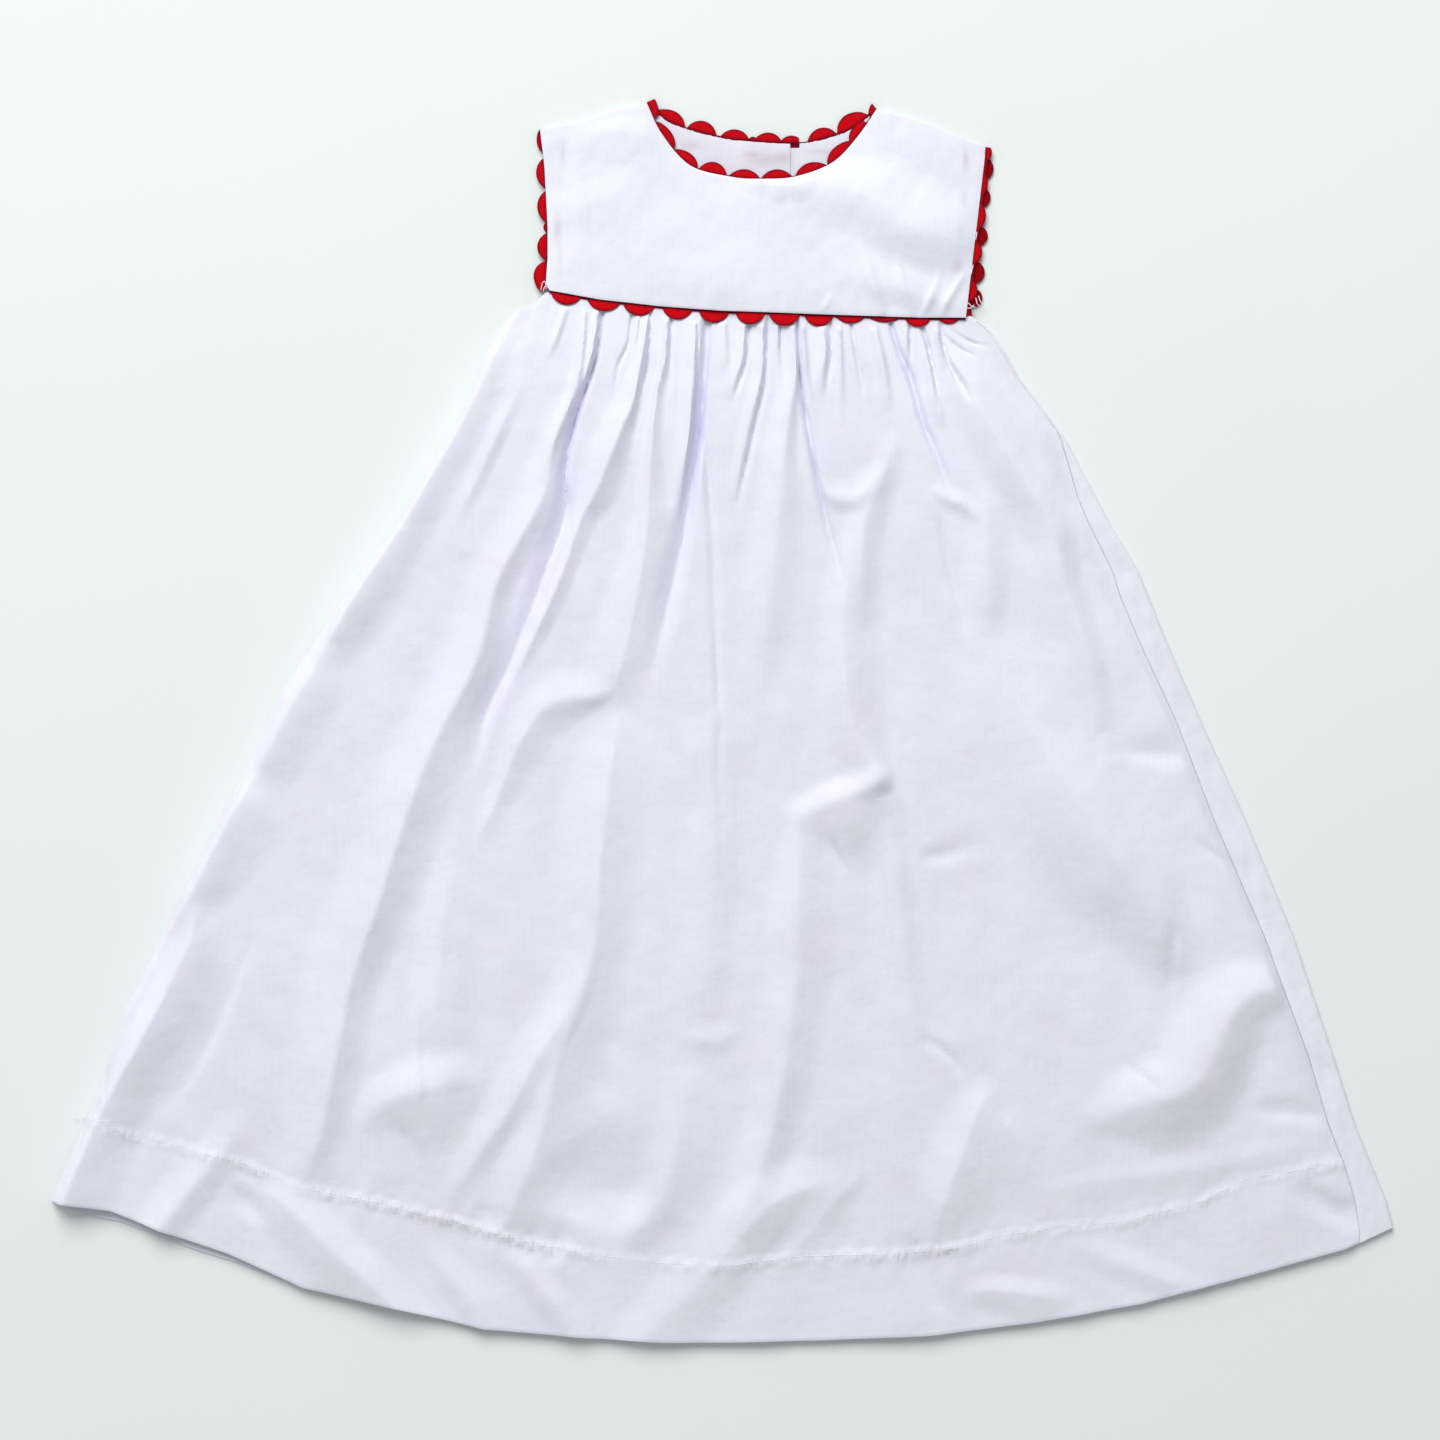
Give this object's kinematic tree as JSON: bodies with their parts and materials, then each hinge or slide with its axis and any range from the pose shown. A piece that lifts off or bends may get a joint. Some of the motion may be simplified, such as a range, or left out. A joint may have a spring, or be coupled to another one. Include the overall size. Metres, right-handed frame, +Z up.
{
  "type": "toddler's sleeveless yoke dress",
  "caption": "Sleeveless dress for a toddler, laid flat: square yoke with a round neck over a wide gathered skirt, wavy ric-rac trim in the seams.",
  "frame": {"origin": "on the surface the dress lies on, under the middle of its outline", "axes": "+Z up out of the front of the dress, +Y towards the neck, +X to the right as seen from above"},
  "size_m": [0.59, 0.546, 0.0171],
  "materials": {
    "cotton": "crisp white cotton poplin, plain weave",
    "ricrac": "bright red woven ric-rac braid"
  },
  "bodies": {
    "root": {"front_skirt": "cotton", "back_skirt": "cotton", "front_yoke": "cotton", "back_yoke_left": "cotton", "back_yoke_right": "cotton", "ricrac_yoke_seam": "ricrac", "ricrac_neck_front": "ricrac", "ricrac_neck_back_left": "ricrac", "ricrac_neck_back_right": "ricrac", "ricrac_armhole_left_front": "ricrac", "ricrac_armhole_left_back": "ricrac", "ricrac_armhole_right_front": "ricrac", "ricrac_armhole_right_back": "ricrac"}
  },
  "joints": []
}
